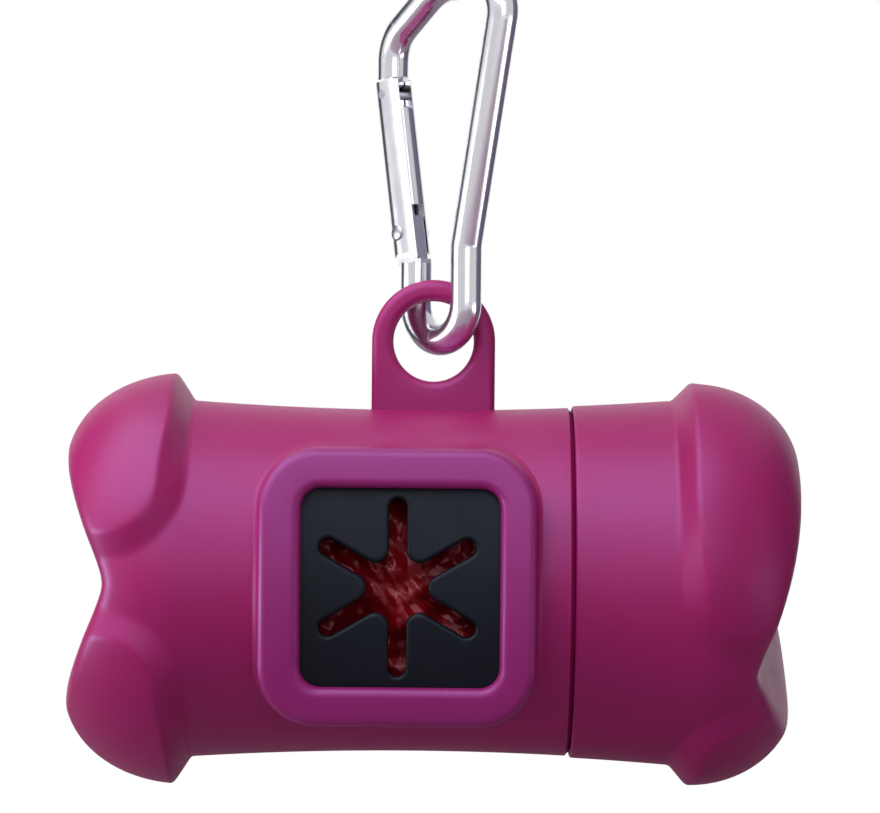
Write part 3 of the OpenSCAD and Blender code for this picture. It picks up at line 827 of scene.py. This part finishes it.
def rivet_patches():
    """Rivet through the gate: a plain shank with low domed heads, turned about its axis."""
    low, high = node_box("hinge_rivet")
    middle = (low + high) / 2
    axis = np.array(joints["gate_open"]["axis"])
    side = np.array([-axis[1], axis[0], 0.0])
    angles = around(RIVET_COLUMNS)[None, :]
    dome = [
        (RIVET_HALF + RIVET_HEAD_H * math.sin(a), RIVET_HEAD_R * math.cos(a)) for a in quarter(9)
    ]
    half = [(0, RIVET_R), (RIVET_HALF, RIVET_R), *dome]
    profile = [(-along, r) for along, r in half[:0:-1]] + half
    along = np.array([p[0] for p in profile])[:, None, None]
    r = np.array([p[1] for p in profile])[:, None]
    across = (r * np.cos(angles))[..., None] * side
    up = (r * np.sin(angles))[..., None] * np.array([0.0, 0.0, 1.0])
    return [(middle + along * axis + across + up, False, True, None)]


# ---------- closing spring ----------


def spring_patches():
    """Round wire wound in a coil along the plunger's way, with one closed turn at either end.

    The wire's middle line is a helix: it goes round at COIL_R while it climbs by a piecewise
    straight rule, and a circle across that line makes the wire.
    """
    low, high = node_box("gate_spring")
    way = np.array(joints["plunger_slide"]["axis"])
    side = np.cross(way, [0.0, 1.0, 0.0])
    side /= np.linalg.norm(side)
    up = np.cross(way, side)
    climb = SPRING_LEN - SPRING_WIRE
    closed = SPRING_CLOSED * SPRING_WIRE
    turn = np.linspace(0, SPRING_TURNS, COIL_STEPS * SPRING_TURNS + 1)
    stops = [0, 1, SPRING_TURNS - 1, SPRING_TURNS]
    rise = np.interp(turn, stops, [0, closed, climb - closed, climb])
    a = 2 * math.pi * turn[:, None]
    out = side * np.cos(a) + up * np.sin(a)
    line = (low + high) / 2 + way * (rise[:, None] - climb / 2) + COIL_R * out
    along = np.gradient(line, axis=0)
    across = np.cross(along, out)
    across /= np.linalg.norm(across, axis=1)[:, None]
    ring = around(WIRE_COLUMNS)[None, :, None]
    wire = np.full(len(turn), SPRING_WIRE / 2)
    wire[[0, -1]] = 0
    section = out[:, None] * np.cos(ring) + across[:, None] * np.sin(ring)
    return [(line[:, None] + wire[:, None, None] * section, False, True, None)]


# ---------- materials ----------


def node_group(name, inputs, outputs):
    """A new shader node group with named float, colour or vector sockets."""
    group = bpy.data.node_groups.new(name, "ShaderNodeTree")
    for socket, kind, value in inputs:
        made = group.interface.new_socket(socket, in_out="INPUT", socket_type="NodeSocket" + kind)
        if value is not None:
            made.default_value = value
    for socket, kind in outputs:
        group.interface.new_socket(socket, in_out="OUTPUT", socket_type="NodeSocket" + kind)
    return group, group.nodes.new("NodeGroupInput"), group.nodes.new("NodeGroupOutput")


def srgb(*levels):
    """Linear colour from 0-255 sRGB levels."""
    return tuple(
        (v / 255 / 12.92) if v <= 10 else ((v / 255 + 0.055) / 1.055) ** 2.4 for v in levels
    )


def simple_material(name, colour, rough, metallic=0.0, specular=0.5, tint=(1, 1, 1)):
    """A surface of one colour and one roughness."""
    material = bpy.data.materials.new(name)
    material.use_nodes = True
    shader = material.node_tree.nodes["Principled BSDF"]
    shader.inputs["Specular IOR Level"].default_value = specular
    shader.inputs["Specular Tint"].default_value = (*tint, 1)
    shader.inputs["Base Color"].default_value = (*colour, 1)
    shader.inputs["Roughness"].default_value = rough
    shader.inputs["Metallic"].default_value = metallic
    return material


def noise(tree, detail, rough):
    """A noise texture, at a scale of 1 unless a scale is linked to it."""
    node = tree.nodes.new("ShaderNodeTexNoise")
    node.inputs["Scale"].default_value = 1.0
    node.inputs["Detail"].default_value = detail
    node.inputs["Roughness"].default_value = rough
    return node


def math_node(tree, operation, first, second):
    """A sum, product or the like of two sockets, or of a socket and a number."""
    node = tree.nodes.new("ShaderNodeMath")
    node.operation = operation
    for slot, value in enumerate((first, second)):
        if isinstance(value, (int, float)):
            node.inputs[slot].default_value = value
        else:
            tree.links.new(value, node.inputs[slot])
    return node.outputs[0]


def stretched(tree, vector, scales):
    """A place times the scales along X, Y and Z."""
    node = tree.nodes.new("ShaderNodeVectorMath")
    node.operation = "MULTIPLY"
    tree.links.new(vector, node.inputs[0])
    tree.links.new(scales, node.inputs[1])
    return node.outputs[0]


def mix_colours(tree, share, low, high):
    """Goes from one colour to another by a share that varies."""
    node = tree.nodes.new("ShaderNodeMix")
    node.data_type = "RGBA"
    tree.links.new(share, node.inputs["Factor"])
    sockets = [socket for socket in node.inputs if socket.type == "RGBA"]
    for socket, colour in zip(sockets, (low, high)):
        socket.default_value = (*colour, 1)
    return next(socket for socket in node.outputs if socket.type == "RGBA")


def mix_shaders(tree, share, other):
    """Goes from a material's own surface to another shader by a share."""
    mix = tree.nodes.new("ShaderNodeMixShader")
    tree.links.new(share, mix.inputs[0])
    tree.links.new(tree.nodes["Principled BSDF"].outputs[0], mix.inputs[1])
    tree.links.new(other.outputs[0], mix.inputs[2])
    tree.links.new(mix.outputs[0], tree.nodes["Material Output"].inputs["Surface"])


def make_grain_group():
    """Fine grain and broad mottling of a moulded, rolled or polished surface, each from 0 to 1."""
    group, given, result = node_group(
        "surface_grain",
        [
            ("Place", "Vector", None),
            ("Grain", "Vector", (2500, 2500, 2500)),
            ("Mottle", "Vector", (90, 90, 90)),
        ],
        [("Grain", "Float"), ("Mottle", "Float")],
    )
    for socket, detail in (("Grain", 4.0), ("Mottle", 3.0)):
        texture = noise(group, detail, 0.6)
        place = stretched(group, given.outputs["Place"], given.outputs[socket])
        group.links.new(place, texture.inputs["Vector"])
        group.links.new(texture.outputs["Fac"], result.inputs[socket])
    return group


def make_marks_group():
    """Where handling has dulled a surface: broken soft patches, and fine hairline scratches."""
    group, given, result = node_group(
        "handling_marks",
        [("Place", "Vector", None), ("Patch", "Float", 140.0), ("Hairline", "Float", 900.0)],
        [("Smudge", "Float"), ("Scratch", "Float")],
    )
    patches = noise(group, 5.0, 0.65)
    group.links.new(given.outputs["Place"], patches.inputs["Vector"])
    group.links.new(given.outputs["Patch"], patches.inputs["Scale"])
    spread = group.nodes.new("ShaderNodeMapRange")
    spread.inputs["From Min"].default_value = 0.48
    spread.inputs["From Max"].default_value = 0.7
    group.links.new(patches.outputs["Fac"], spread.inputs["Value"])
    group.links.new(spread.outputs["Result"], result.inputs["Smudge"])
    lines = group.nodes.new("ShaderNodeTexWave")
    lines.inputs["Distortion"].default_value = 18.0
    lines.inputs["Detail"].default_value = 3.0
    group.links.new(given.outputs["Place"], lines.inputs["Vector"])
    group.links.new(given.outputs["Hairline"], lines.inputs["Scale"])
    sharp = math_node(group, "POWER", lines.outputs["Fac"], 12.0)
    broken = math_node(group, "MULTIPLY", sharp, spread.outputs["Result"])
    group.links.new(broken, result.inputs["Scratch"])
    return group


SURFACE_GRAIN = make_grain_group()
HANDLING_MARKS = make_marks_group()


def place_group(tree, group, place, **values):
    """Outputs of a node group that is laid over a place, with its other inputs set."""
    node = tree.nodes.new("ShaderNodeGroup")
    node.node_tree = group
    tree.links.new(place, node.inputs["Place"])
    for socket, value in values.items():
        node.inputs[socket].default_value = value
    return node.outputs


def finished_material(name, low, high, rough, grain, mottle, bump, smudge, scratch=0.0, **base):
    """A surface with mottled colour, grain in its height, dulled patches and hairline scratches.

    low and high are the colours that the mottling goes between, and rough the roughness that the
    grain goes between. grain and mottle are counts per metre along X, Y and Z. bump is the grain's
    height in metres. smudge is what the dulled patches add to the roughness, and scratch how deep
    the scratches are beside the grain. The rest goes to simple_material().
    """
    material = simple_material(name, low, rough[0], **base)
    tree = material.node_tree
    shader = tree.nodes["Principled BSDF"]
    place = tree.nodes.new("ShaderNodeTexCoord").outputs["Object"]
    surface = place_group(tree, SURFACE_GRAIN, place, Grain=grain, Mottle=mottle)
    marks = place_group(tree, HANDLING_MARKS, place)
    colour = mix_colours(tree, surface["Mottle"], low, high)
    tree.links.new(colour, shader.inputs["Base Color"])
    dulled = math_node(tree, "MULTIPLY", marks["Smudge"], smudge)
    grained = math_node(tree, "MULTIPLY", surface["Grain"], rough[1] - rough[0])
    roughness = math_node(tree, "ADD", math_node(tree, "ADD", dulled, grained), rough[0])
    tree.links.new(roughness, shader.inputs["Roughness"])
    scratched = math_node(tree, "MULTIPLY", marks["Scratch"], scratch)
    height = math_node(tree, "SUBTRACT", surface["Grain"], scratched)
    raised = tree.nodes.new("ShaderNodeBump")
    raised.inputs["Distance"].default_value = bump
    tree.links.new(height, raised.inputs["Height"])
    tree.links.new(raised.outputs["Normal"], shader.inputs["Normal"])
    return material


# The tint of the plastics' highlights.
SHEEN = (0.45, 0.46, 1.0)
FINISHES = {
    "shell_plastic": dict(
        low=srgb(143, 16, 80), high=srgb(151, 19, 88), rough=(0.36, 0.50),
        grain=(2600, 900, 900), mottle=(60, 60, 60), bump=0.000006,
        specular=0.7, tint=SHEEN, smudge=0.05, scratch=0.15,
    ),
    "frame_plastic": dict(
        low=srgb(131, 20, 90), high=srgb(139, 24, 98), rough=(0.34, 0.48),
        grain=(2200, 2200, 2200), mottle=(80, 80, 80), bump=0.000006,
        specular=0.8, tint=SHEEN, smudge=0.05, scratch=0.15,
    ),
    "pad_rubber": dict(
        low=srgb(7, 10, 15), high=srgb(12, 16, 23), rough=(0.34, 0.50),
        grain=(3200, 3200, 3200), mottle=(220, 220, 220), bump=0.00001,
        specular=0.2, tint=(0.75, 0.85, 1.0), smudge=0.08,
    ),
    "bag_film": dict(
        low=srgb(92, 5, 13), high=srgb(134, 9, 21), rough=(0.22, 0.40),
        grain=(420, 1500, 420), mottle=(260, 260, 260), bump=0.00005,
        specular=0.45, tint=(1.0, 0.62, 0.66), smudge=0.1,
    ),
    "core_board": dict(
        low=srgb(142, 116, 84), high=srgb(168, 144, 110), rough=(0.72, 0.92),
        grain=(1600, 5200, 5200), mottle=(300, 120, 120), bump=0.00003,
        specular=0.3, smudge=0.05,
    ),
    "hook_metal": dict(
        low=srgb(224, 225, 231), high=srgb(234, 235, 240), rough=(0.15, 0.21),
        grain=(1800, 1800, 500), mottle=(60, 60, 60), bump=0.0000015,
        metallic=1.0, smudge=0.06, scratch=1.0,
    ),
    "pin_steel": dict(
        low=srgb(146, 147, 152), high=srgb(172, 173, 178), rough=(0.24, 0.38),
        grain=(2600, 2600, 2600), mottle=(400, 400, 400), bump=0.000004,
        metallic=1.0, smudge=0.12, scratch=1.0,
    ),
}
MATERIALS = {name: finished_material(name, **finish) for name, finish in FINISHES.items()}

# ---------- assembly ----------

bone = body_patches() + boss_patches() + eyelet_patches()
add_piece("bone_body", bone, "dispenser", "shell_plastic", ["body_shell"])
add_piece("bone_cap", cap_patches(), "cap", "shell_plastic", ["end_cap"])
add_piece("outlet_bezel", bezel_patches(), "dispenser", "frame_plastic", ["outlet_frame"])
add_piece("star_membrane", pad_patches(), "dispenser", "pad_rubber", ["star_pad"])
winding = add_piece("bag_winding", wound_film_patches(), "roll", "bag_film", ["bag_roll"])
creased = gathered_film_patches()
film = add_piece("gathered_bag", creased, "dispenser", "bag_film", ["bag_tail"], sharp=25)
film_wall = film.modifiers.new("film", "SOLIDIFY")
film_wall.thickness = FILM_T * MM
film_wall.offset = 1.0

add_piece("hinge_pin", rivet_patches(), "carabiner", "pin_steel", ["hinge_rivet"])

spring = add_piece("closing_spring", spring_patches(), "gate", "pin_steel", ["gate_spring"])
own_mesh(spring)

for node, slot in (
    ("roll_core", "core_board"),
    ("carabiner_frame", "hook_metal"), ("gate", "hook_metal"),
    ("latch_pin", "pin_steel"), ("gate_plunger", "pin_steel"),
):
    data = frame["nodes"][node].data
    data.materials.clear()
    data.materials.append(MATERIALS[slot])

# ---------- studio ----------

CAMERA_AWAY = 480.0
VIEW_WIDTH = 104.3
CAMERA_X, CAMERA_Z = 1.23, 20.6
CAMERA_ROLL = -0.55
SENSOR = 36

# The backdrop: its floor from the front to a bend, and its wall from there to the top.
FRONT_Y, WALL_Y = -1500.0, 1400.0
FLOOR_Z, WALL_TOP = -260.0, 900.0
BACKDROP_BEND = 200.0
BACKDROP_HALF = 1200.0

ROOM_LIGHT = 0.1
ROOM_IN_MIRRORS = 0.7


def to_frame(x, y, z):
    """A place in millimetres from the bone's middle, in the frame's metres."""
    return Vector(MIDDLE + np.array([x, y, z]) * MM)


def add_camera():
    """A camera straight in front of the bone, with a view VIEW_WIDTH wide at the bone's axis."""
    data = bpy.data.cameras.new("camera")
    data.sensor_width = SENSOR
    data.lens = SENSOR * CAMERA_AWAY / VIEW_WIDTH
    data.clip_start = 0.01
    camera = show("camera", data)
    camera.location = to_frame(CAMERA_X, -CAMERA_AWAY, CAMERA_Z)
    camera.rotation_euler = (math.radians(90), math.radians(CAMERA_ROLL), 0)
    bpy.context.scene.camera = camera


def add_lamp(name, place, size, power, colour):
    """A rectangular lamp that points at the bone's middle."""
    data = bpy.data.lights.new(name, "AREA")
    data.shape = "RECTANGLE"
    data.size, data.size_y = size[0] * MM, size[1] * MM
    data.energy = power
    data.color = colour
    lamp = show(name, data)
    lamp.location = to_frame(*place)
    direction = to_frame(0, 0, 0) - lamp.location
    lamp.rotation_euler = direction.to_track_quat("-Z", "Y").to_euler()


def add_backdrop():
    """A floor well below the part that curves up into a wall behind it.

    Its profile is a line, a quarter circle and a line, carried along X. It is plain white to the
    camera and in reflections, and a matt white surface to other light.
    """
    turn = np.linspace(0, math.pi / 2, 17)
    bend_y = WALL_Y - BACKDROP_BEND + BACKDROP_BEND * np.sin(turn)
    bend_z = FLOOR_Z + BACKDROP_BEND * (1 - np.cos(turn))
    y = np.concatenate([[FRONT_Y], bend_y, [WALL_Y]])[:, None]
    z = np.concatenate([[FLOOR_Z], bend_z, [WALL_TOP]])[:, None]
    x = np.array([[-BACKDROP_HALF, BACKDROP_HALF]])
    grid = np.stack([x + 0 * y, y + 0 * x, z + 0 * x], axis=-1)
    points = grid.reshape(-1, 3) * MM + MIDDLE
    index = np.arange(len(points)).reshape(-1, 2)
    cells = np.stack([index[:-1, 0], index[:-1, 1], index[1:, 1], index[1:, 0]], axis=-1)
    mesh = bpy.data.meshes.new("backdrop")
    mesh.from_pydata(points, [], cells.tolist())
    mesh.polygons.foreach_set("use_smooth", np.ones(len(mesh.polygons), bool))
    material = simple_material("studio_white", (0.85, 0.85, 0.86), 0.9)
    tree = material.node_tree
    path = tree.nodes.new("ShaderNodeLightPath").outputs
    seen = math_node(tree, "MAXIMUM", path["Is Camera Ray"], path["Is Glossy Ray"])
    seen = math_node(tree, "MAXIMUM", seen, path["Is Transmission Ray"])
    white = tree.nodes.new("ShaderNodeEmission")
    white.inputs["Strength"].default_value = 1.0
    mix_shaders(tree, seen, white)
    mesh.materials.append(material)
    show("backdrop", mesh)


def add_card(name, corner, along, up, colour):
    """A flat card beside the part, which the part mirrors and the camera looks through."""
    corner, along, up = np.array(corner), np.array(along), np.array(up)
    points = np.array([corner, corner + along, corner + along + up, corner + up]) * MM + MIDDLE
    mesh = bpy.data.meshes.new(name)
    mesh.from_pydata(points, [], [(0, 1, 2, 3)])
    material = simple_material(name, colour, 0.8, specular=0.0)
    tree = material.node_tree
    path = tree.nodes.new("ShaderNodeLightPath").outputs
    mix_shaders(tree, path["Is Camera Ray"], tree.nodes.new("ShaderNodeBsdfTransparent"))
    mesh.materials.append(material)
    show(name, mesh)


def add_world():
    """Dim light from all round: plain white to the camera, and a pale room in reflections."""
    world = bpy.data.worlds.new("studio")
    world.use_nodes = True
    bpy.context.scene.world = world
    tree = world.node_tree
    back = tree.nodes["Background"]
    back.inputs["Color"].default_value = (1, 1, 1, 1)
    path = tree.nodes.new("ShaderNodeLightPath").outputs
    mirrored = math_node(tree, "MULTIPLY", path["Is Glossy Ray"], ROOM_IN_MIRRORS)
    seen = math_node(tree, "MAXIMUM", path["Is Camera Ray"], mirrored)
    seen = math_node(tree, "MAXIMUM", seen, path["Is Transmission Ray"])
    lit = math_node(tree, "MAXIMUM", seen, ROOM_LIGHT)
    tree.links.new(lit, back.inputs["Strength"])


add_camera()
add_backdrop()
add_world()
add_card("card_below", (-300, -420, -60), (600, 0, 0), (0, 710, 0), (0.36, 0.27, 0.31))
add_card("card_right", (300, -60, -80), (0, 430, 0), (0, 0, 330), (0.20, 0.17, 0.24))
add_card("card_left", (-300, 90, -60), (0, 330, 0), (0, 0, 460), (0.20, 0.22, 0.25))
add_lamp("front", (70, -460, 130), (220, 220), 0.28, (1.0, 0.9, 1.0))
add_lamp("key", (-220, -230, 450), (800, 640), 5.4, (0.93, 0.95, 1.0))
add_lamp("left", (-440, -60, -115), (260, 280), 2.8, (0.97, 0.97, 1.0))
add_lamp("right", (420, -160, -160), (300, 300), 0.7, (1.0, 0.93, 0.95))

bpy.context.scene.view_settings.view_transform = "Standard"
